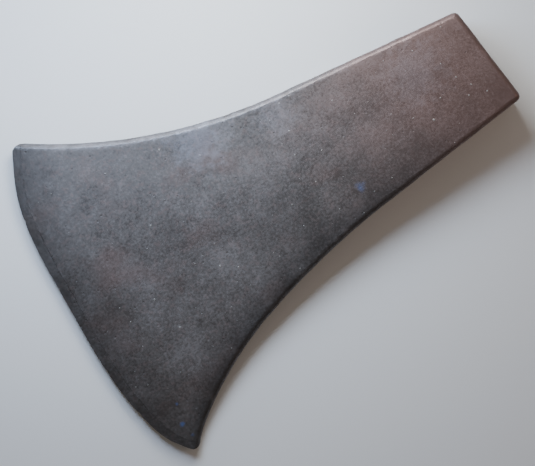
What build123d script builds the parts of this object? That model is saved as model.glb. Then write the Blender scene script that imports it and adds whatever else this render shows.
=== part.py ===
from build123d import *
import math
import os

os.makedirs("parts", exist_ok=True)

# Broad axe head lying on its bevelled side, millimetres.
# +X runs to the cutting edge, +Y to the heel, +Z up through the flat side.
# The origin is under the middle of the eye, on the plane the head rests on.

# Thickness, seen from the toe or the heel
EYE_THICKNESS = 29.0        # resting plane to flat side, over the middle of the eye
FACE_FALL = 6.69            # degrees the flat side falls towards the cutting edge
SHOULDER_X = 204.0          # where the underside comes back to the resting plane
HOLLOW_START = 32.0         # in front of the eye, where the underside lifts
HOLLOW_MIDDLE = (95.0, 140.0)
HOLLOW_DEPTH = 4.6
HOLLOW_EASE = 0.2           # how much shallower its rear half is
EDGE_THICKNESS = 0.5
BEVEL_ANGLE = 22.5          # degrees between the bevel and the resting plane

# Outline on the flat side
POLL_X = -40.9
POLL_SKEW = 6.1             # degrees the poll face leans back towards the heel
NECK_HALF = 32.8            # half width over the middle of the eye
TOE_TAPER = 6.68            # degrees each neck edge opens towards the blade
HEEL_TAPER = 6.46
TOE_STRAIGHT_X = 65.0       # where the straight part of each neck edge ends
HEEL_STRAIGHT_X = 45.0
HEEL_FLARE = (125.0, 54.85)  # the heel side turns out faster past each of these
HEEL_SWEEP = (185.0, 85.6)
POLL_TOE_Y = -28.36         # where the poll face meets each neck edge
POLL_HEEL_Y = 27.83
POLL_CORNER_R = 3.2
TOE_CORNER_R = 6.0
HEEL_CORNER_R = 3.5
FLAT_EDGE_R = 2.6           # rounding of the long edges of the flat side
UNDER_EDGE_R = 1.2
TOE_CORNER = (195.3, -91.0)
HEEL_CORNER = (196.3, 97.3)
EDGE_X = 215.5              # furthest point of the cutting edge
EDGE_CURVE = [
    TOE_CORNER, (207.6, -65.4), (212.8, -40.0), (214.6, 0.0),
    (EDGE_X, 32.0), (213.9, 55.0), (210.6, 72.0), (206.2, 84.0), HEEL_CORNER,
]

# Eye, open through both narrow sides
EYE_LENGTH = 46.0
CHEEK_AT_EYE = 6.2          # wall between the eye and the outside
EYE_REAR_R = 4.0
EYE_FRONT_R = 5.0
BLOCK_LAP = 2.0             # how far the poll block wraps the eye's rear corners
BLOCK_SINK = 1.0            # how far it is let into each cheek

# Steel tongue between the cheeks
TONGUE_ROOT_X = 160.0
TONGUE_ROOT_Z = 7.2
TONGUE_ROOT_T = 0.6
TONGUE_BARE = 5.0           # steel left bare along the edge on the flat side
CHEEK_LIP = 0.9             # cheek left over the steel where it ends

BEHIND = -80.0              # behind the poll
FAR = 400.0                 # past every face of the head

face_fall = math.radians(FACE_FALL)
flat_side = Plane(
    origin=(0, 0, EYE_THICKNESS),
    x_dir=(math.cos(face_fall), 0, -math.sin(face_fall)),
    z_dir=(math.sin(face_fall), 0, math.cos(face_fall)),
)


def flat_z(x):
    """Height of the flat side over a point of the resting plane."""
    return EYE_THICKNESS - x * math.tan(face_fall)


def toe_neck(x):
    return (x, -NECK_HALF - x * math.tan(math.radians(TOE_TAPER)))


def heel_neck(x):
    return (x, NECK_HALF + x * math.tan(math.radians(HEEL_TAPER)))


def poll_point(y):
    return (POLL_X - y * math.tan(math.radians(POLL_SKEW)), y)


def through(profile):
    """An (x, z) profile made solid from far past the heel to far past the toe."""
    return extrude(Pos(0, FAR, 0) * (Plane.XZ * profile), 2 * FAR)


def side_outline():
    """Poll, both neck edges and both flares, left open past the cutting edge."""
    overrun = 30
    toe_start = poll_point(POLL_TOE_Y)
    heel_start = poll_point(POLL_HEEL_Y)
    poll = Line(heel_start, toe_start)
    toe_line = Line(toe_start, toe_neck(TOE_STRAIGHT_X))
    toe_flare = TangentArc(toe_line @ 1, TOE_CORNER, tangent=toe_line % 1)
    toe_past = Line(toe_flare @ 1, toe_flare @ 1 + (toe_flare % 1) * overrun)
    heel_line = Line(heel_start, heel_neck(HEEL_STRAIGHT_X))
    heel_flare = TangentArc(heel_line @ 1, HEEL_FLARE, tangent=heel_line % 1)
    heel_sweep = TangentArc(heel_flare @ 1, HEEL_SWEEP, tangent=heel_flare % 1)
    heel_hook = TangentArc(heel_sweep @ 1, HEEL_CORNER, tangent=heel_sweep % 1)
    heel_past = Line(heel_hook @ 1, heel_hook @ 1 + (heel_hook % 1) * overrun)
    closing = Line(toe_past @ 1, heel_past @ 1)
    sides = [poll, toe_line, toe_flare, toe_past, closing]
    sides += [heel_past, heel_hook, heel_sweep, heel_flare, heel_line]
    return make_face(sides)


def behind_edge(setback):
    """Region behind the cutting edge, which is nearly straight with turned-back ends."""
    overrun = 60
    edge = Pos(-setback, 0, 0) * Spline(*EDGE_CURVE)
    toe_end = edge @ 0
    heel_end = edge @ 1
    toe_out = toe_end - (edge % 0) * overrun
    heel_out = heel_end + (edge % 1) * overrun
    border = Polyline(heel_end, heel_out, (-FAR, heel_out.Y), (-FAR, toe_out.Y), toe_out, toe_end)
    return make_face([edge, border])


def sides_solid():
    """The outline carried down from the flat side, its long edges rounded."""
    block = extrude(flat_side * side_outline(), -3 * EYE_THICKNESS)
    down = Axis(flat_side.origin, flat_side.z_dir)
    block = fillet(block.edges().filter_by(down).sort_by(Axis.X)[:2], POLL_CORNER_R)
    rim = block.faces().sort_by(down)[-1].edges()
    return fillet(rim.filter_by(lambda edge: edge.center().X < SHOULDER_X), FLAT_EDGE_R)


def plan_solid():
    """The whole outline with its toe and heel corners worn round."""
    outline = side_outline() & behind_edge(0)
    tips = outline.vertices().filter_by(lambda tip: tip.X > TOE_CORNER[0] - 1)
    outline = fillet(tips.sort_by(Axis.Y)[0], TOE_CORNER_R)
    tips = outline.vertices().filter_by(lambda tip: tip.X > TOE_CORNER[0] - 1)
    outline = fillet(tips.sort_by(Axis.Y)[-1], HEEL_CORNER_R)
    return extrude(flat_side.offset(FAR) * outline, -2 * FAR)


def edge_solid():
    """Everything behind the cutting edge and above the ground bevel."""
    bevel = math.radians(BEVEL_ANGLE)
    lead = flat_side.offset(-EDGE_THICKNESS) * behind_edge(0)
    ground = extrude(lead, FAR, dir=(-math.cos(bevel), 0, -math.sin(bevel)))
    return ground + extrude(lead, 2 * EDGE_THICKNESS)


def under_solid():
    """Resting plane under the poll and eye, then the hollow out to the bevel."""
    rest = Line((BEHIND, 0), (HOLLOW_START, 0))
    rear = (HOLLOW_MIDDLE[0], HOLLOW_DEPTH - HOLLOW_EASE)
    front = (HOLLOW_MIDDLE[1], HOLLOW_DEPTH)
    ends = ((1, 0), (1, -0.1))
    hollow = Spline((HOLLOW_START, 0), rear, front, (SHOULDER_X, 0), tangents=ends)
    past = Polyline((SHOULDER_X, 0), (FAR, 0), (FAR, FAR), (BEHIND, FAR), (BEHIND, 0))
    return through(make_face([rest, hollow, past]))


def across(points):
    """A closed run of (x, z) points made solid right across the head."""
    return through(make_face(Polyline(*points, close=True)))


def eye_solid():
    """The eye, wider behind than in front, with rounded corners."""
    rear = -EYE_LENGTH / 2
    front = EYE_LENGTH / 2
    low = CHEEK_AT_EYE
    eye = across([
        (rear, low), (front, low),
        (front, flat_z(front) - CHEEK_AT_EYE), (rear, flat_z(rear) - CHEEK_AT_EYE),
    ])
    eye = fillet(eye.edges().filter_by(Axis.Y).sort_by(Axis.X)[-2:], EYE_FRONT_R)
    return fillet(eye.edges().filter_by(Axis.Y).sort_by(Axis.X)[:2], EYE_REAR_R)


def poll_zone():
    """Where the poll block sits, behind the eye and let into both cheeks."""
    front = -EYE_LENGTH / 2 + BLOCK_LAP
    wall = CHEEK_AT_EYE - BLOCK_SINK
    return across([
        (BEHIND, wall), (front, wall),
        (front, flat_z(front) - wall), (BEHIND, flat_z(BEHIND) - wall),
    ])


def weld_line():
    """Where the cheeks meet, from behind the poll to the root of the tongue."""
    front = EYE_LENGTH / 2
    middle = flat_z(front) / 2
    return [(BEHIND, middle), (front, middle), (TONGUE_ROOT_X, TONGUE_ROOT_Z)]


def upper_zone():
    """Above the weld, then above the tongue's upper face."""
    tongue = [
        (TONGUE_ROOT_X, TONGUE_ROOT_Z + TONGUE_ROOT_T / 2),
        (EDGE_X, flat_z(EDGE_X) - CHEEK_LIP),
    ]
    return across(weld_line() + tongue + [(EDGE_X, FAR), (BEHIND, FAR)])


def lower_zone():
    """Below the weld, then below the tongue's lower face."""
    tongue = [
        (TONGUE_ROOT_X, TONGUE_ROOT_Z - TONGUE_ROOT_T / 2),
        (SHOULDER_X, CHEEK_LIP),
    ]
    return across(weld_line() + tongue + [(SHOULDER_X, -FAR), (BEHIND, -FAR)])


def on_under_rim(edge):
    """True for an edge between the underside and a side of the head."""
    middle = edge.center()
    low = edge.bounding_box().max.Z < HOLLOW_DEPTH + 1
    return low and middle.X < SHOULDER_X - 20 and (abs(middle.Y) > 20 or middle.X < POLL_X)


head = sides_solid() & plan_solid() & edge_solid() & under_solid()
head = fillet(head.edges().filter_by(on_under_rim), UNDER_EDGE_R)
head = head - eye_solid()
poll_block = head & poll_zone()
plates = head - poll_zone()
bare_zone = extrude(flat_side.offset(FAR) * behind_edge(TONGUE_BARE), -2 * FAR)
flat_side_cheek = plates & upper_zone() & bare_zone
bevel_side_cheek = plates & lower_zone()
edge_steel = plates - flat_side_cheek - bevel_side_cheek

pieces = {
    "flat_side_cheek": flat_side_cheek,
    "bevel_side_cheek": bevel_side_cheek,
    "poll_block": poll_block,
    "edge_steel": edge_steel,
}
for name, piece in pieces.items():
    export_step(piece, f"parts/{name}.step")
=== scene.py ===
import math
import bpy
from mathutils import Matrix, Vector


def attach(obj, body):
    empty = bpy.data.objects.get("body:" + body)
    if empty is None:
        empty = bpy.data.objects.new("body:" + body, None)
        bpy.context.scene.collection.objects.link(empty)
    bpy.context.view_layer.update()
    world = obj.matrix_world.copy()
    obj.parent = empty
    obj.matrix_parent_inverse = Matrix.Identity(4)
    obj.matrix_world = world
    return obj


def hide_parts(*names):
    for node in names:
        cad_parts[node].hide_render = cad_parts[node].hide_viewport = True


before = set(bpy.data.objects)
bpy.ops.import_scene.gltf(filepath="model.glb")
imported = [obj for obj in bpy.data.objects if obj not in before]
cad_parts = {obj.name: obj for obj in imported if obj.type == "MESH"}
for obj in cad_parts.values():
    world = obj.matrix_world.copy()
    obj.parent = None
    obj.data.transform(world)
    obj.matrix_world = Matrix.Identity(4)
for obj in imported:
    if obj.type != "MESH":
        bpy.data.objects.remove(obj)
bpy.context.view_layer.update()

# ---------------------------------------------------------------------------
# Flat side cheek.
# The upper of the two wrought iron plates. The smith drew it out under the
# hammer, hollowed it for its half of the eye, and ground it dead flat on top,
# because this is the side that runs against the timber.
# ---------------------------------------------------------------------------
MM = 0.001
EYE_THICKNESS = 29.0
FACE_FALL = math.radians(6.69)

# The narrow sides: half width over the middle of the eye, how many degrees each neck edge
# opens, where its straight part ends, and the ends of the arcs that flare out after it.
NECK_HALF = 32.8
TOE_TAPER = 6.68
TOE_STRAIGHT_X = 65.0
TOE_ARCS = [(195.3, 91.0)]
HEEL_TAPER = 6.46
HEEL_STRAIGHT_X = 45.0
HEEL_ARCS = [(125.0, 54.85), (185.0, 85.6), (196.3, 97.3)]
BEHIND = -80.0
# The cutting edge from toe to heel, as how far across the head and how far along it.
EDGE_POINTS = [
    (-91.0, 195.3), (-65.4, 207.6), (-40.0, 212.8), (0.0, 214.6),
    (32.0, 215.5), (55.0, 213.9), (72.0, 210.6), (84.0, 206.2), (97.3, 196.3),
]
# The underside from the front of the eye to the bevel: along, up, slope.
HOLLOW = [(32.0, 0.0, 0.0), (95.0, 4.4, 0.035), (140.0, 4.6, -0.03), (204.0, 0.0, -0.1)]
BEVEL_SLOPE = 0.5
BEVEL_ANGLE = math.radians(22.5)
BEVEL_FROM = 190.0
EDGE_LAND = 0.5
POLL_X = -40.9
POLL_SKEW = 6.1
POLL_CORNER_R = 3.2
# The two corners at the cutting edge: along and across, how round, and the directions, in
# degrees, that the sides of each face.
TOE_CORNER = (195.3, -91.0)
TOE_CORNER_R = 6.0
TOE_CORNER_FACES = (-31, -125.5)
HEEL_CORNER = (196.5, 97.1)
HEEL_CORNER_R = 3.5
HEEL_CORNER_FACES = (38, 139)
FLAT_EDGE_R = 2.6
UNDER_EDGE_R = 1.2
# Where the blank is brought to size as it is drawn out: sparse over the eye, then every 4 mm.
STATIONS = [-62.0, -30.0, 0.0, 31.0] + [34.0 + 4.0 * i for i in range(50)]
CHEEK_AT_EYE = 6.2
EYE_HALF = 23.0
EYE_FRONT_R = 5.0
EYE_REAR_R = 4.0
SEAT_FRONT = -21.0
SEAT_WALL = 5.2
STEEL_ROOT = (160.0, 7.2)
TONGUE_BARE = 5.0

TILT = Matrix.Rotation(FACE_FALL, 3, "Y")
LIFT = Vector((0, 0, EYE_THICKNESS * MM))
FACE_UP = TILT @ Vector((0, 0, 1))


def side_runs(taper, straight_x, arcs):
    """A narrow side as runs of start, half width, lean and radius, each following the last."""
    lean = math.radians(taper)
    runs = [(BEHIND, NECK_HALF + BEHIND * math.tan(lean), lean, None)]
    x, half = straight_x, NECK_HALF + straight_x * math.tan(lean)
    for end_x, end_half in arcs:
        chord = math.atan2(end_half - half, end_x - x)
        radius = math.hypot(end_x - x, end_half - half) / (2 * math.sin(chord - lean))
        runs.append((x, half, lean, radius))
        x, half, lean = end_x, end_half, 2 * chord - lean
    return runs + [(x, half, lean, None)]


TOE_SIDE = side_runs(TOE_TAPER, TOE_STRAIGHT_X, TOE_ARCS)
HEEL_SIDE = side_runs(HEEL_TAPER, HEEL_STRAIGHT_X, HEEL_ARCS)


def poll_corner(side, taper):
    """Where the leaning poll face meets a neck edge; side is -1 at the toe, 1 at the heel."""
    skew, slope = math.tan(math.radians(POLL_SKEW)), math.tan(math.radians(taper))
    half = (NECK_HALF + POLL_X * slope) / (1 + side * skew * slope)
    return (POLL_X - side * half * skew, side * half)


def half_width(x, side):
    """Half the width of the flat side at x, towards the toe or the heel."""
    start, half, lean, radius = [run for run in side if x >= run[0]][-1]
    if radius is None:
        return half + (x - start) * math.tan(lean)
    centre = start - radius * math.sin(lean)
    return half + radius * math.cos(lean) - math.sqrt(radius ** 2 - (x - centre) ** 2)


def smooth_between(x, a, b):
    """Height at x on the smooth curve from a to b, each given as (x, height, slope)."""
    run = b[0] - a[0]
    t = (x - a[0]) / run
    rise = a[1] * (2 * t ** 3 - 3 * t ** 2 + 1) + b[1] * (3 * t ** 2 - 2 * t ** 3)
    return rise + run * (a[2] * (t ** 3 - 2 * t ** 2 + t) + b[2] * (t ** 3 - t ** 2))


def under_height(x):
    """Height of the underside at x: resting, hollow, then down past the bevel's start."""
    for a, b in zip(HOLLOW, HOLLOW[1:]):
        if a[0] <= x <= b[0]:
            return smooth_between(x, a, b)
    return 0.0 if x < HOLLOW[0][0] else -BEVEL_SLOPE * (x - HOLLOW[-1][0])


def edge_point(y, setback=0.0):
    """Point of the cutting edge in the flat side, on the smooth line through EDGE_POINTS."""
    last = len(EDGE_POINTS) - 1
    slopes = []
    for i in range(last + 1):
        before = EDGE_POINTS[max(i - 1, 0)]
        after = EDGE_POINTS[min(i + 1, last)]
        slopes.append((after[1] - before[1]) / (after[0] - before[0]))
    i = max(k for k in range(last) if EDGE_POINTS[k][0] <= y)
    start = (*EDGE_POINTS[i], slopes[i])
    end = (*EDGE_POINTS[i + 1], slopes[i + 1])
    return Vector((smooth_between(y, start, end) - setback, y, 0)) * MM


def select_none():
    bpy.ops.object.select_all(action="DESELECT")


def pick(piece, wanted, mode="FACE"):
    """In edit mode, select the vertices, edges or faces for which wanted is true."""
    bpy.ops.mesh.select_mode(type=mode)
    bpy.ops.mesh.select_all(action="DESELECT")
    bpy.ops.object.mode_set(mode="OBJECT")
    mesh = piece.data
    parts = {"VERT": mesh.vertices, "EDGE": mesh.edges, "FACE": mesh.polygons}[mode]
    for part in parts:
        part.select = wanted(mesh, part)
    bpy.ops.object.mode_set(mode="EDIT")


def cut(point, normal, past=-1.0):
    """Cut away and close what lies beyond a plane, on faces wholly past one place along x."""
    piece = bpy.context.active_object
    pick(piece, lambda mesh, face: min(mesh.vertices[i].co.x for i in face.vertices) > past)
    bpy.ops.mesh.bisect(
        plane_co=point, plane_no=normal, clear_outer=True, use_fill=True, threshold=1e-7
    )


def round_corner(tip, first, last, radius, past=-1.0):
    """Cut a corner of the outline round, between two outward directions in degrees."""
    steps = 4
    first, last = math.radians(first), math.radians(last)
    out = [Vector((math.cos(a), math.sin(a), 0)) for a in (first, last)]
    middle = Vector((*tip, 0)) * MM - radius * MM * (out[0] + out[1]) / (1 + out[0].dot(out[1]))
    for i in range(steps):
        turn = first + (last - first) * (i + 0.5) / steps
        normal = Vector((math.cos(turn), math.sin(turn), 0))
        reach = radius * MM * math.cos((last - first) / steps / 2)
        cut(middle + normal * reach, normal, past)


def edge_chords(setback=0.0):
    """The cutting edge as straight runs from toe to heel, each turned back from the last."""
    steps = 30
    first, last = EDGE_POINTS[0][0], EDGE_POINTS[-1][0]
    points = []
    for i in range(steps + 1):
        point = edge_point(first + (last - first) * i / steps, setback)
        while len(points) > 1 and (points[-1] - points[-2]).cross(point - points[-1]).z < 1e-8:
            points.pop()
        points.append(point)
    points = [TILT @ point + LIFT for point in points]
    return list(zip(points, points[1:]))


def ease(width, segments, wanted, profile=0.5):
    """Round the sharp edges for whose two ends wanted is true."""
    piece = bpy.context.active_object
    bpy.ops.mesh.select_mode(type="EDGE")
    bpy.ops.mesh.select_all(action="DESELECT")
    bpy.ops.mesh.edges_select_sharp(sharpness=math.radians(40))
    bpy.ops.object.mode_set(mode="OBJECT")
    mesh = piece.data
    for edge in mesh.edges:
        if edge.select:
            ends = [mesh.vertices[i].co for i in edge.vertices]
            edge.select = wanted(*ends)
    bpy.ops.object.mode_set(mode="EDIT")
    bpy.ops.mesh.bevel(
        offset=width * MM, offset_type="OFFSET", segments=segments, profile=profile,
        affect="EDGES", clamp_overlap=False,
    )


def draw_out(name):
    """A blank of the whole head, drawn out from the poll station by station."""
    select_none()
    bpy.ops.mesh.primitive_plane_add(size=1, rotation=(0, math.pi / 2, 0))
    blank = bpy.context.active_object
    blank.name = name
    bpy.ops.object.transform_apply(location=False, rotation=True, scale=False)
    bpy.ops.object.mode_set(mode="EDIT")
    bpy.ops.mesh.select_all(action="SELECT")
    at = Vector((0, 0, 0))
    wide = deep = 1.0
    lean, level = math.sin(FACE_FALL), math.cos(FACE_FALL)
    for x in STATIONS:
        down = EYE_THICKNESS - under_height(x)
        along = x * level + down * lean
        thick = (down * level - x * lean) * MM
        toe = -half_width(along, TOE_SIDE) * MM
        heel = half_width(along, HEEL_SIDE) * MM
        to = Vector((along * MM, (toe + heel) / 2, -thick / 2))
        if x > STATIONS[0]:
            bpy.ops.mesh.extrude_region_move(TRANSFORM_OT_translate={"value": to - at})
        else:
            bpy.ops.transform.translate(value=to)
        bpy.ops.transform.resize(
            value=(1, (heel - toe) / wide, thick / deep), center_override=to
        )
        at, wide, deep = to, heel - toe, thick
    bpy.ops.mesh.select_all(action="SELECT")
    bpy.ops.mesh.normals_make_consistent(inside=False)

    poll_faces = 180 + POLL_SKEW
    poll = math.radians(poll_faces)
    cut(Vector((POLL_X * MM, 0, 0)), Vector((math.cos(poll), math.sin(poll), 0)))
    round_corner(poll_corner(-1, TOE_TAPER), poll_faces, 270 - TOE_TAPER, POLL_CORNER_R)
    round_corner(poll_corner(1, HEEL_TAPER), poll_faces, 90 + HEEL_TAPER, POLL_CORNER_R)
    ease(FLAT_EDGE_R, 4, lambda a, b: a.z > -1e-5 and b.z > -1e-5 and a.x < 220 * MM, 0.4)
    ease(UNDER_EDGE_R, 2, lambda a, b: max(a.z, b.z) < -MM and max(a.x, b.x) < 225 * MM)
    round_corner(TOE_CORNER, *TOE_CORNER_FACES, TOE_CORNER_R, past=182 * MM)
    round_corner(HEEL_CORNER, *HEEL_CORNER_FACES, HEEL_CORNER_R, past=186 * MM)

    bpy.ops.object.mode_set(mode="OBJECT")
    blank.rotation_euler = (0, FACE_FALL, 0)
    blank.location = LIFT
    bpy.ops.object.transform_apply()
    bpy.ops.object.mode_set(mode="EDIT")
    grind = Vector((math.cos(BEVEL_ANGLE), 0, math.sin(BEVEL_ANGLE)))
    for a, b in edge_chords():
        cut(a, (b - a).cross(FACE_UP))
        cut(a - FACE_UP * EDGE_LAND * MM, (b - a).cross(grind))
    cut((0, 0, 0), (0, 0, -1), past=BEVEL_FROM * MM)
    bpy.ops.mesh.select_all(action="SELECT")
    bpy.ops.mesh.remove_doubles(threshold=2e-5)
    bpy.ops.object.mode_set(mode="OBJECT")
    return blank


def bar_across(points):
    """A bar right across the head, its end drawn point by point as (along, up)."""
    select_none()
    bpy.ops.mesh.primitive_plane_add(size=MM)
    bar = bpy.context.active_object
    bpy.ops.object.mode_set(mode="EDIT")
    bpy.ops.mesh.select_mode(type="VERT")
    bpy.ops.mesh.select_all(action="SELECT")
    bpy.ops.mesh.merge(type="CENTER")
    reach = 150
    ends = [Vector((x, -reach, z)) * MM for x, z in points]
    bpy.ops.mesh.select_all(action="SELECT")
    bpy.ops.transform.translate(value=ends[0])
    for a, b in zip(ends, ends[1:]):
        bpy.ops.mesh.extrude_vertices_move(TRANSFORM_OT_translate={"value": b - a})
    bpy.ops.mesh.select_all(action="SELECT")
    bpy.ops.mesh.edge_face_add()
    bpy.ops.mesh.extrude_region_move(TRANSFORM_OT_translate={"value": (0, 2 * reach * MM, 0)})
    bpy.ops.mesh.select_all(action="SELECT")
    bpy.ops.mesh.normals_make_consistent(inside=False)
    bpy.ops.object.mode_set(mode="OBJECT")
    return bar


def take(piece, tool, operation):
    """Apply a Boolean with a tool shape to a piece."""
    select_none()
    bpy.context.view_layer.objects.active = piece
    piece.select_set(True)
    bpy.ops.object.modifier_add(type="BOOLEAN")
    shaping = piece.modifiers[-1]
    shaping.operation = operation
    shaping.solver = "EXACT"
    shaping.object = tool
    bpy.ops.object.modifier_apply(modifier=shaping.name)


def flat_height(x):
    """Height of the flat side over the resting plane at x."""
    return EYE_THICKNESS - x * math.tan(FACE_FALL)


def eye_bar():
    """The hole for the haft, wider behind than in front."""
    low, front, rear = CHEEK_AT_EYE, EYE_HALF, -EYE_HALF
    bar = bar_across([
        (rear, low), (front, low),
        (front, flat_height(front) - low), (rear, flat_height(rear) - low),
    ])
    bpy.ops.object.mode_set(mode="EDIT")
    ease(EYE_FRONT_R, 5, lambda a, b: min(a.x, b.x) > 0 and abs(a.y - b.y) > 100 * MM)
    near_rear = (1 - EYE_HALF) * MM
    ease(EYE_REAR_R, 5, lambda a, b: max(a.x, b.x) < near_rear and abs(a.y - b.y) > 100 * MM)
    bpy.ops.object.mode_set(mode="OBJECT")
    return bar


def poll_bar():
    """The seat of the poll block, let into both cheeks."""
    return bar_across([
        (BEHIND, SEAT_WALL), (SEAT_FRONT, SEAT_WALL),
        (SEAT_FRONT, flat_height(SEAT_FRONT) - SEAT_WALL),
        (BEHIND, flat_height(BEHIND) - SEAT_WALL),
    ])


def weld_plane():
    """Where the cheeks meet, from behind the poll to the root of the steel."""
    middle = flat_height(EYE_HALF) / 2
    return [(BEHIND, middle), (EYE_HALF, middle), STEEL_ROOT]


# Points closer than this are merged after a piece is divided, so no slivers are left.
SLIVER = 0.03


def grain(piece, spacing):
    """Divide a piece by planes this many millimetres apart, so that hammering can move it."""
    bpy.context.view_layer.objects.active = piece
    bpy.ops.object.mode_set(mode="EDIT")
    corners = [v.co for v in piece.data.vertices]
    for axis in range(3):
        low = min(c[axis] for c in corners)
        high = max(c[axis] for c in corners)
        count = round((high - low) / (spacing * MM))
        for i in range(1, count):
            point = Vector((0, 0, 0))
            point[axis] = low + (high - low) * i / count
            normal = Vector((0, 0, 0))
            normal[axis] = 1
            bpy.ops.mesh.select_all(action="SELECT")
            bpy.ops.mesh.bisect(plane_co=point, plane_no=normal, threshold=1e-6)
    bpy.ops.mesh.select_all(action="SELECT")
    bpy.ops.mesh.remove_doubles(threshold=SLIVER * MM)
    bpy.ops.object.mode_set(mode="OBJECT")


def behind_bare_steel(shape):
    """Trim a shape to the line where the flat side's iron ends and bare steel begins."""
    bpy.context.view_layer.objects.active = shape
    bpy.ops.object.mode_set(mode="EDIT")
    for a, b in edge_chords(TONGUE_BARE):
        cut(a, (b - a).cross(FACE_UP))
    bpy.ops.object.mode_set(mode="OBJECT")


def hammer(piece, depth, size, everywhere=False, rest=0.55):
    """Leave the unevenness of forging, on all of a piece or only off its ground faces.

    Depth and size are in millimetres. A rest of 1 only sinks the surface, never swells it.
    """
    level = 0.75
    points = piece.data.vertices
    forged = piece.vertex_groups.new(name="forged")
    forged.add([v.index for v in points if everywhere or abs(v.normal.z) < level], 1.0, "ADD")
    select_none()
    bpy.context.view_layer.objects.active = piece
    swell = bpy.data.textures.new("swell", "CLOUDS")
    swell.noise_scale = size * MM
    swell.noise_depth = 2
    bpy.ops.object.modifier_add(type="DISPLACE")
    working = piece.modifiers[-1]
    working.texture = swell
    working.texture_coords = "LOCAL"
    working.mid_level = rest
    working.strength = depth * MM
    working.vertex_group = forged.name
    bpy.ops.object.modifier_apply(modifier=working.name)
    bpy.data.textures.remove(swell)
    piece.vertex_groups.clear()


# How wide the rims are lightened, partly as wear and partly as a painted highlight, and how much
# of it the heel side keeps, which lies in shade.
RIM_WEAR_AND_SHEEN_WIDTH = 4.2
SHADED_HEEL_RIM = 0.35
# How wide the painted shade along the heel side is, how wide and strong the grime behind the
# cutting edge is, and how far below the flat side both reach.
HEEL_SHADE_WIDTH = 18.0
EDGE_GRIME_WIDTH = 26.0
EDGE_GRIME = 0.7
SHADE_AND_GRIME_DEPTH = 5.0


def wear_and_shade(piece):
    """Note how far each point is lightened at the rims, and darkened at the heel and the edge.

    The lighter rims are partly wear from handling and partly a painted highlight; the heel
    side, facing away from the lamps, gets less of it. The darkening along the heel side is
    painted shade, which fades out towards the poll; behind the cutting edge it is grime.
    """
    rubbed_and_sheen = piece.data.attributes.new("rubbed_and_sheen", "FLOAT", "POINT")
    shaded_and_grimed = piece.data.attributes.new("shaded_and_grimed", "FLOAT", "POINT")
    back = TILT.transposed()
    poll_turn = math.radians(180 + POLL_SKEW)
    poll_out = Vector((math.cos(poll_turn), math.sin(poll_turn), 0))
    for vertex in piece.data.vertices:
        flat = back @ (vertex.co - LIFT)
        x = flat.x / MM
        toe = half_width(x, TOE_SIDE) * MM + flat.y
        heel = half_width(x, HEEL_SIDE) * MM - flat.y
        poll = poll_out.dot(Vector((POLL_X * MM, 0, 0)) - flat)
        side = max(min(toe, heel, poll), 0)
        under = vertex.co.z - max(under_height(vertex.co.x / MM), 0) * MM
        face = max(min(-flat.z, under), 0)
        # The rims are lightened: partly wear, partly a painted highlight, weaker on the heel
        # side, which lies in shade.
        near = 1.2 - (side + face) / (RIM_WEAR_AND_SHEEN_WIDTH * MM)
        rubbed_and_sheen.data[vertex.index].value = max(0, min(1, near)) * (SHADED_HEEL_RIM if heel < toe else 1)
        # Painted shade along the heel side, fading out towards the poll, and grime behind the
        # cutting edge; both only near the flat side.
        past_poll = min(1, max(0, (x + 40) / 90))
        shade_and_soil = max(0, 1 - heel / (HEEL_SHADE_WIDTH * MM)) * past_poll
        across = min(max(flat.y / MM, EDGE_POINTS[0][0]), EDGE_POINTS[-1][0])
        behind = edge_point(across).x - flat.x
        shade_and_soil = max(shade_and_soil, EDGE_GRIME * (1 - behind / (EDGE_GRIME_WIDTH * MM)))
        shaded_and_grimed.data[vertex.index].value = shade_and_soil * max(0, 1 + flat.z / (SHADE_AND_GRIME_DEPTH * MM))


def finish_piece(piece, material, node):
    """Smooth a piece's shading, give it its finish, and put it in its node's place."""
    select_none()
    bpy.context.view_layer.objects.active = piece
    piece.select_set(True)
    bpy.ops.object.shade_smooth_by_angle(angle=math.radians(32))
    bpy.ops.object.modifier_add(type="WEIGHTED_NORMAL")
    evening = piece.modifiers[-1]
    evening.keep_sharp = True
    bpy.ops.object.modifier_apply(modifier=evening.name)
    piece.data.materials.clear()
    piece.data.materials.append(material)
    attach(piece, "root")
    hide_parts(node)


def srgb(code):
    """An sRGB hex colour as linear numbers."""
    parts = [int(code[i:i + 2], 16) / 255 for i in (0, 2, 4)]
    return [c / 12.92 if c <= 0.04045 else ((c + 0.055) / 1.055) ** 2.4 for c in parts] + [1.0]


def add(tree, kind, inputs=None, out=0, **settings):
    """Add a node, make its settings, fill its inputs, and hand back one of its outputs."""
    made = tree.nodes.new(kind)
    for name, value in settings.items():
        setattr(made, name, value)
    for key, value in (inputs or {}).items():
        if isinstance(value, bpy.types.NodeSocket):
            tree.links.new(value, made.inputs[key])
        else:
            made.inputs[key].default_value = value
    return made.outputs[out]


# Slides the cloudy patterns until their dark patches lie where this head has them.
CLOUD_SHIFT = (-0.04, 0.4, 0.28)


def per_mm(size):
    """The scale that makes a pattern's features this many millimetres across."""
    return 1 / (size * MM)


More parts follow.
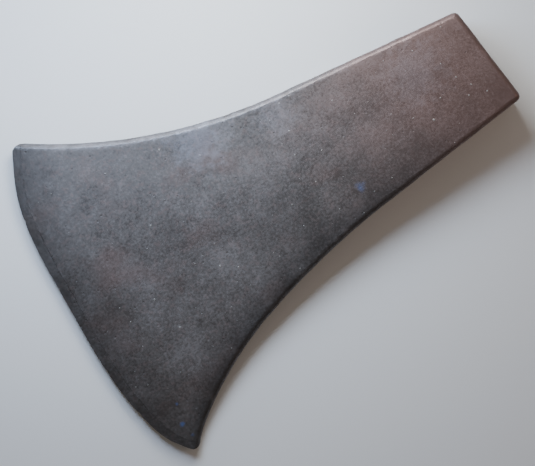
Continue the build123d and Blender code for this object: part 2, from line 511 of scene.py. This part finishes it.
def weld_lines(tree, place):
    """Where the welds come to the surface: between the cheeks and round the poll block."""
    axes = add(tree, "ShaderNodeSeparateXYZ", {0: place}).node.outputs
    x, z = axes[0], axes[2]
    front, root = weld_plane()[1:]
    slope = (root[1] - front[1]) / (root[0] - front[0])
    cheeks = add(tree, "ShaderNodeMath", {
        0: x, 1: slope, 2: (front[1] - slope * front[0]) * MM,
    }, operation="MULTIPLY_ADD")
    roof = add(tree, "ShaderNodeMath", {
        0: x, 1: -math.tan(FACE_FALL), 2: (EYE_THICKNESS - SEAT_WALL) * MM,
    }, operation="MULTIPLY_ADD")
    start = EYE_HALF - 1
    neck = add(tree, "ShaderNodeMath", {
        0: x, 1: (root[0] + start) / 2 * MM, 2: (root[0] - start) / 2 * MM,
    }, operation="COMPARE")
    rear = add(tree, "ShaderNodeMath", {0: x, 1: (SEAT_FRONT + 0.2) * MM}, operation="LESS_THAN")
    lines = 0.0
    for level, zone in ((cheeks, neck), (roof, rear), (SEAT_WALL * MM, rear)):
        off = add(tree, "ShaderNodeMath", {0: z, 1: level}, operation="SUBTRACT")
        off = add(tree, "ShaderNodeMath", {0: off}, operation="ABSOLUTE")
        line = add(tree, "ShaderNodeMapRange", {
            0: off, 1: 0.1 * MM, 2: 0.8 * MM, 3: 1.0, 4: 0.0,
        }, interpolation_type="SMOOTHSTEP")
        line = add(tree, "ShaderNodeMath", {0: line, 1: zone}, operation="MULTIPLY")
        lines = add(tree, "ShaderNodeMath", {0: line, 1: lines}, operation="MAXIMUM")
    return lines


def old_iron(name, body, dark, pale, brown, rust_and_reflection_at_poll, rough, patchy=0.3, coarse=1.0, marks=()):
    """Forged metal under a dark patina: clouds, freckles, brown rust and a painted warm
    reflection towards the poll, pits, rims lightened by wear and a painted highlight, painted
    shade at the heel.
    """
    finish = bpy.data.materials.new(name)
    finish.use_nodes = True
    tree = finish.node_tree
    place = add(tree, "ShaderNodeTexCoord", out="Object")

    # Patterns by size in millimetres, then how many finer layers each has and how strong.
    # The real skin's freckles and scratches are finer, but they would not show so small.
    slid = add(tree, "ShaderNodeMapping", {"Vector": place, "Location": CLOUD_SHIFT})
    patches, clouds, stains, grit_size, mottle, russet, freckle = [
        add(tree, "ShaderNodeTexNoise", {
            "Vector": slid, "Scale": per_mm(size), "Detail": layers, "Roughness": strong,
        })
        for size, layers, strong in (
            (30.0, 2.0, 0.5), (24.0, 4.0, 0.55), (11.0, 3.0, 0.6), (9.0, 1.0, 0.5),
            (4.0, 3.0, 0.6), (2.6, 2.0, 0.6), (1.3, 2.0, 0.6),
        )
    ]
    stroked = add(tree, "ShaderNodeMapping", {
        "Vector": place, "Location": CLOUD_SHIFT, "Scale": (0.06, 1.0, 1.0),
        "Rotation": (0, 0, math.radians(35)),
    })
    scratch = add(tree, "ShaderNodeTexNoise", {
        "Vector": stroked, "Scale": per_mm(1.1), "Detail": 2.0, "Roughness": 0.5,
    })

    # Lighter and darker patina.
    tone = 0.0
    for pattern, share in ((clouds, 0.3), (stains, 0.15), (mottle, 0.22), (freckle, 0.29)):
        tone = add(tree, "ShaderNodeMath", {
            0: pattern, 1: share, 2: tone,
        }, operation="MULTIPLY_ADD")
    middling = add(tree, "ShaderNodeMapRange", {
        0: tone, 1: 0.375, 2: 0.475,
    }, interpolation_type="SMOOTHSTEP")
    light = add(tree, "ShaderNodeMapRange", {
        0: tone, 1: 0.475, 2: 0.595,
    }, interpolation_type="SMOOTHSTEP")

    # Brown towards the poll, partly rust and partly a painted warm reflection; rust in patches,
    # and fine russet freckles.
    along = add(tree, "ShaderNodeSeparateXYZ", {0: place})
    along = add(tree, "ShaderNodeMath", {0: clouds, 1: -0.1, 2: along}, operation="MULTIPLY_ADD")
    poll_rust_and_reflection = add(tree, "ShaderNodeMapRange", {
        0: along, 1: 45 * MM, 2: -75 * MM, 3: 0.0, 4: rust_and_reflection_at_poll,
    }, interpolation_type="SMOOTHSTEP")
    patches = add(tree, "ShaderNodeMapRange", {
        0: patches, 1: 0.5, 2: 0.75, 3: 0.0, 4: patchy,
    }, interpolation_type="SMOOTHSTEP")
    rust_and_warm_reflection = add(tree, "ShaderNodeMath", {0: poll_rust_and_reflection, 1: patches}, operation="MAXIMUM")
    russet = add(tree, "ShaderNodeMapRange", {
        0: russet, 1: 0.5, 2: 0.68,
    }, interpolation_type="SMOOTHSTEP")

    # Rust pits about 5 mm apart, only where the iron is stained.
    pits = add(tree, "ShaderNodeTexVoronoi", {"Vector": place, "Scale": per_mm(5.0)})
    pits = add(tree, "ShaderNodeMapRange", {
        0: pits, 1: 0.04, 2: 0.16, 3: 0.7, 4: 0.0,
    }, interpolation_type="SMOOTHSTEP")
    stained = add(tree, "ShaderNodeMapRange", {
        0: stains, 1: 0.42, 2: 0.58,
    }, interpolation_type="SMOOTHSTEP")
    pits = add(tree, "ShaderNodeMath", {0: pits, 1: stained}, operation="MULTIPLY")

    # Pale grains of grit lying on faces that look up.
    grit = add(tree, "ShaderNodeTexVoronoi", {
        "Vector": place, "Scale": per_mm(12.0),
    }, voronoi_dimensions="2D")
    grit = add(tree, "ShaderNodeMath", {
        0: grit_size, 1: -0.16, 2: grit,
    }, operation="MULTIPLY_ADD")
    grit = add(tree, "ShaderNodeMapRange", {
        0: grit, 1: -0.08, 2: -0.055, 3: 0.6, 4: 0.0,
    }, interpolation_type="SMOOTHSTEP")
    facing = add(tree, "ShaderNodeNewGeometry", out="Normal")
    facing = add(tree, "ShaderNodeSeparateXYZ", {0: facing}, out=2)
    upward = add(tree, "ShaderNodeMapRange", {
        0: facing, 1: 0.8, 2: 0.9,
    }, interpolation_type="SMOOTHSTEP")
    grit = add(tree, "ShaderNodeMath", {0: grit, 1: upward}, operation="MULTIPLY")

    # Single marks with ragged rims, at their own places on the flat side.
    marked = []
    ragged = add(tree, "ShaderNodeMath", {0: mottle, 1: 0.5}, operation="SUBTRACT")
    for x, y, radius, strength, tint in marks:
        spot = TILT @ Vector((x, y, 0)) * MM + LIFT
        off = add(tree, "ShaderNodeVectorMath", {0: place, 1: spot}, out=1, operation="DISTANCE")
        off = add(tree, "ShaderNodeMath", {
            0: ragged, 1: -2.5 * radius * MM, 2: off,
        }, operation="MULTIPLY_ADD")
        mark = add(tree, "ShaderNodeMapRange", {
            0: off, 1: 0.1 * radius * MM, 2: 1.5 * radius * MM, 3: 1.0, 4: 0.0,
        }, interpolation_type="SMOOTHSTEP")
        marked.append((mark, strength, srgb(tint)))

    # Rims lightened, partly as wear from handling and partly as a painted highlight; painted
    # shade along the heel, and grime behind the cutting edge, where cloths and hands seldom
    # reach.
    rubbed_and_sheen = add(tree, "ShaderNodeAttribute", out="Fac", attribute_name="rubbed_and_sheen")
    broken = add(tree, "ShaderNodeMath", {0: mottle, 1: clouds}, operation="ADD")
    broken = add(tree, "ShaderNodeMapRange", {
        0: broken, 1: 0.75, 2: 1.15, 3: 0.3, 4: 1.0,
    }, interpolation_type="SMOOTHSTEP")
    bare_and_sheen = add(tree, "ShaderNodeMath", {0: rubbed_and_sheen, 1: broken}, operation="MULTIPLY")
    # The lightened rims' colour: pale grey for wear and a painted highlight, turning brown
    # towards the poll as a painted warm reflection.
    rim_wear_and_highlight = add(tree, "ShaderNodeMix", {
        0: poll_rust_and_reflection, 6: srgb("8d8c90"), 7: srgb("8c6a5e"),
    }, out=2, data_type="RGBA")
    # Painted shade along the heel side and grime behind the cutting edge, made uneven by the
    # stains pattern.
    shaded_and_grimed = add(tree, "ShaderNodeAttribute", out="Fac", attribute_name="shaded_and_grimed")
    uneven = add(tree, "ShaderNodeMapRange", {
        0: stains, 1: 0.3, 2: 0.55, 3: 0.6, 4: 1.0,
    }, interpolation_type="SMOOTHSTEP")
    shade_and_grime = add(tree, "ShaderNodeMath", {0: shaded_and_grimed, 1: uneven}, operation="MULTIPLY")
    welds = weld_lines(tree, place)

    # Every layer of colour from the bottom up: where it lies, how strongly, and its colour.
    colour = srgb(dark)
    for pattern, strength, over in [
        # The brown layer is rust, and towards the poll partly a painted warm reflection.
        (middling, 1.0, srgb(body)), (light, 1.0, srgb(pale)), (rust_and_warm_reflection, 1.0, srgb(brown)),
        (russet, 0.28, srgb("6d5a55")), (pits, 0.6, srgb("35302d")),
        (grit, 1.0, srgb("98958d")), *marked,
        # Rims lightened by wear and a painted highlight, then painted shade at the heel and grime
        # at the edge.
        (bare_and_sheen, 0.45, rim_wear_and_highlight), (shade_and_grime, 0.95, srgb("2b2826")), (welds, 0.55, srgb("2b2724")),
    ]:
        amount = add(tree, "ShaderNodeMath", {0: pattern, 1: strength}, operation="MULTIPLY")
        colour = add(tree, "ShaderNodeMix", {
            0: amount, 6: colour, 7: over,
        }, out=2, data_type="RGBA")

    # Roughness drifts with the clouds: glossier where rubbed, duller in the pits.
    gloss = add(tree, "ShaderNodeMath", {0: clouds, 1: freckle}, operation="ADD")
    gloss = add(tree, "ShaderNodeMapRange", {
        0: gloss, 1: 0.8, 2: 1.2, 3: rough - 0.07, 4: rough + 0.09,
    }, interpolation_type="SMOOTHSTEP")
    for pattern, rougher in ((bare_and_sheen, -0.05), (pits, 0.15)):
        gloss = add(tree, "ShaderNodeMath", {
            0: pattern, 1: rougher, 2: gloss,
        }, operation="MULTIPLY_ADD")

    # Relief, each pattern by how far it rises or sinks.
    height = 0.0
    for pattern, rise in (
        (clouds, 1.2), (mottle, 0.16), (freckle, 0.12), (scratch, 0.07),
        (pits, -0.45), (welds, -0.9), (grit, 0.5),
    ):
        height = add(tree, "ShaderNodeMath", {
            0: pattern, 1: rise, 2: height,
        }, operation="MULTIPLY_ADD")
    relief = add(tree, "ShaderNodeBump", {
        "Strength": 0.7, "Distance": coarse * 0.35 * MM, "Height": height,
    })

    # The skin is part oxide and old oil, so it is only partly metallic.
    skin = tree.nodes["Principled BSDF"]
    skin.inputs["Metallic"].default_value = 0.6
    tree.links.new(colour, skin.inputs["Base Color"])
    tree.links.new(gloss, skin.inputs["Roughness"])
    tree.links.new(relief, skin.inputs["Normal"])
    return finish


# The iron left over the steel at each cheek's front rim, and half the steel's root.
CHEEK_LIP = 0.9
STEEL_ROOT_HALF = 0.3
EDGE_X = 215.5
ABOVE = 80.0

root_x, root_z = STEEL_ROOT
upper = weld_plane() + [
    (root_x, root_z + STEEL_ROOT_HALF), (EDGE_X, flat_height(EDGE_X) - CHEEK_LIP),
    (EDGE_X, ABOVE), (BEHIND, ABOVE),
]
top, eye, seat = bar_across(upper), eye_bar(), poll_bar()
flat_cheek = draw_out("flat_cheek")
take(flat_cheek, top, "INTERSECT")
take(flat_cheek, eye, "DIFFERENCE")
take(flat_cheek, seat, "DIFFERENCE")
behind_bare_steel(flat_cheek)
grain(flat_cheek, 1.7)
hammer(flat_cheek, 0.12, 20, everywhere=True)
hammer(flat_cheek, 0.5, 9)
wear_and_shade(flat_cheek)

# Two centuries of oil and handling on wrought iron: a dark, half glossy, cloudy skin.
# Its marks, as along, across, radius, strength, colour: darker patches on the heel half, lighter
# grey patches on the toe half, blue paint.
MARKS = [
    (48, 20, 14, 0.3, "302b28"), (93, 22, 20, 0.36, "302b28"), (-2, -13, 16, 0.25, "8c7f7f"),
    (112, -42, 15, 0.26, "8e909b"), (72, -32, 11, 0.16, "8e8c93"),
    (52.9, 23.6, 2.6, 0.4, "5a6f9e"), (193, 70, 1.0, 0.6, "5a6f9e"),
    (196, 80.5, 1.4, 0.9, "5a6f9e"), (194.5, 88, 1.1, 0.55, "5a6f9e"),
]
wrought = old_iron(
    "patinated_wrought_iron", body="5d5855", dark="4f4a47", pale="6d6866", brown="6b5149",
    rust_and_reflection_at_poll=0.75, rough=0.46, marks=MARKS,
)
finish_piece(flat_cheek, wrought, "flat_side_cheek")

# ---------------------------------------------------------------------------
# Poll block.
# A short wrought iron bar behind the eye, let into both cheeks and forge
# welded there. It makes the poll, which has been struck now and then.
# ---------------------------------------------------------------------------
poll = draw_out("poll")
take(poll, seat, "INTERSECT")
take(poll, eye, "DIFFERENCE")
grain(poll, 2.2)
hammer(poll, 0.35, 9, everywhere=True)
wear_and_shade(poll)
# Wrought iron that has rusted and been oiled over: warm brown, with a duller shine. Its brown
# towards the poll is partly a painted warm reflection.
poll_iron = old_iron(
    "browned_poll_iron", body="5b5351", dark="4b4542", pale="69615e", brown="6b4f46",
    rust_and_reflection_at_poll=0.85, rough=0.5, coarse=2.0,
)
finish_piece(poll, poll_iron, "poll_block")

# ---------------------------------------------------------------------------
# Bevel side cheek.
# The lower wrought iron plate, welded to the upper one in front of the eye and
# behind it. It stays black from the forge underneath, hollowed by the hammer.
# ---------------------------------------------------------------------------
SHOULDER_X = 204.0
lower = weld_plane() + [
    (root_x, root_z - STEEL_ROOT_HALF), (SHOULDER_X, CHEEK_LIP),
    (SHOULDER_X, -ABOVE), (BEHIND, -ABOVE),
]
bottom = bar_across(lower)
bevel_cheek = draw_out("bevel_cheek")
take(bevel_cheek, bottom, "INTERSECT")
take(bevel_cheek, eye, "DIFFERENCE")
take(bevel_cheek, seat, "DIFFERENCE")
grain(bevel_cheek, 2.2)
hammer(bevel_cheek, 0.3, 18, everywhere=True, rest=1.0)
hammer(bevel_cheek, 0.45, 9)
wear_and_shade(bevel_cheek)
# Wrought iron still dark from the forge: blacker, rougher, with a deeper relief.
scaled = old_iron(
    "forge_black_wrought_iron", body="575351", dark="484442", pale="66625f", brown="6b5149",
    rust_and_reflection_at_poll=0.6, rough=0.52, coarse=2.0,
)
finish_piece(bevel_cheek, scaled, "bevel_side_cheek")

# ---------------------------------------------------------------------------
# Edge steel.
# A thin tongue of hard steel set between the cheeks and welded, then ground to
# one bevel from below. Its honed shine has dulled to a grey brown near the iron's own.
# ---------------------------------------------------------------------------
# Small dents in the cutting edge: how far across the head, and how deep.
NICKS = [(-52, 0.5), (-13, 0.3), (37, 0.45), (64, 0.35)]
NICK_REACH = 0.9
NICK_SPREAD = 2.5

behind_bare_steel(top)
bit = draw_out("bit")
bpy.ops.object.mode_set(mode="EDIT")
cut((root_x * MM, 0, 0), (-1, 0, 0))
bpy.ops.object.mode_set(mode="OBJECT")
take(bit, bottom, "DIFFERENCE")
take(bit, top, "DIFFERENCE")
grain(bit, 1.5)
hammer(bit, 0.10, 7, everywhere=True, rest=1.0)
bpy.ops.object.mode_set(mode="EDIT")
for across, depth in NICKS:
    tip = TILT @ edge_point(across) + LIFT - FACE_UP * EDGE_LAND * MM / 2
    pick(bit, lambda mesh, vertex: (vertex.co - tip).length < NICK_REACH * MM, "VERT")
    bpy.ops.transform.translate(
        value=(-depth * MM, 0, 0), use_proportional_edit=True,
        proportional_edit_falloff="SHARP", proportional_size=NICK_SPREAD * MM,
    )
bpy.ops.object.mode_set(mode="OBJECT")
wear_and_shade(bit)
# Tool steel honed long ago and dulled since: the same patina, thinner and a little glossier.
steel = old_iron(
    "honed_edge_steel", body="575350", dark="4b4745", pale="676362", brown="64534b",
    rust_and_reflection_at_poll=0.5, rough=0.43, patchy=0.7,
)
finish_piece(bit, steel, "edge_steel")

select_none()
for tool in (top, eye, seat, bottom):
    tool.select_set(True)
bpy.ops.object.delete()

# ---------------------------------------------------------------------------
# Where it lies.
# The head rests on its bevelled side on a plain sheet of pale matt paper, under
# soft lamps on the toe side, seen square on to the flat side.
# ---------------------------------------------------------------------------
select_none()
bpy.ops.mesh.primitive_plane_add(size=6)
floor = bpy.context.active_object
floor.name = "floor"
paper = bpy.data.materials.new("pale_paper")
paper.use_nodes = True
sheet = paper.node_tree.nodes["Principled BSDF"]
sheet.inputs["Base Color"].default_value = srgb("dddbd7")
sheet.inputs["Roughness"].default_value = 0.9
floor.data.materials.append(paper)

# The camera looks straight down on this point of the flat side, turned so the poll is
# at the upper right.
sight = TILT @ Vector((106.4, 18.8, 0)) * MM + LIFT
right = TILT @ Vector((-0.8526, 0.5225, 0))
above = TILT @ Vector((-0.5225, -0.8526, 0))
LENS = 120
SENSOR = 36
WIDE = 278.2 * MM
camera_data = bpy.data.cameras.new("camera")
camera_data.lens = LENS
camera_data.sensor_width = SENSOR
camera = bpy.data.objects.new("camera", camera_data)
bpy.context.scene.collection.objects.link(camera)
facing = Matrix((right, above, FACE_UP)).transposed()
camera.matrix_world = Matrix.Translation(sight + FACE_UP * WIDE * LENS / SENSOR) @ facing.to_4x4()
bpy.context.scene.camera = camera


def softbox(name, across, up, high, size, power, colour):
    """A soft round lamp, placed in metres across and up the view and above the flat side."""
    place = sight + right * across + above * up + FACE_UP * high
    bpy.ops.object.light_add(type="AREA", location=place)
    lamp = bpy.context.active_object
    lamp.name = name
    lamp.data.shape = "DISK"
    lamp.data.size = size
    lamp.data.energy = power
    lamp.data.color = srgb(colour)[:3]
    lamp.visible_camera = False
    lamp.rotation_euler = (sight - place).to_track_quat("-Z", "Y").to_euler()


softbox("window", -0.13, 0.155, 0.22, 0.16, 1.1, "c4dcff")
softbox("overhead", 0.0, 0.20, 0.14, 0.15, 0.72, "f0f8ff")
softbox("low_sky", -0.22, 0.42, 0.09, 0.2, 1.1, "dceaff")
softbox("door", 0.45, 0.10, 0.25, 0.3, 0.25, "ffe0d0")
world = bpy.data.worlds.new("studio")
world.use_nodes = True
world.node_tree.nodes["Background"].inputs["Color"].default_value = srgb("f2e8e0")
world.node_tree.nodes["Background"].inputs["Strength"].default_value = 0.22
bpy.context.scene.world = world
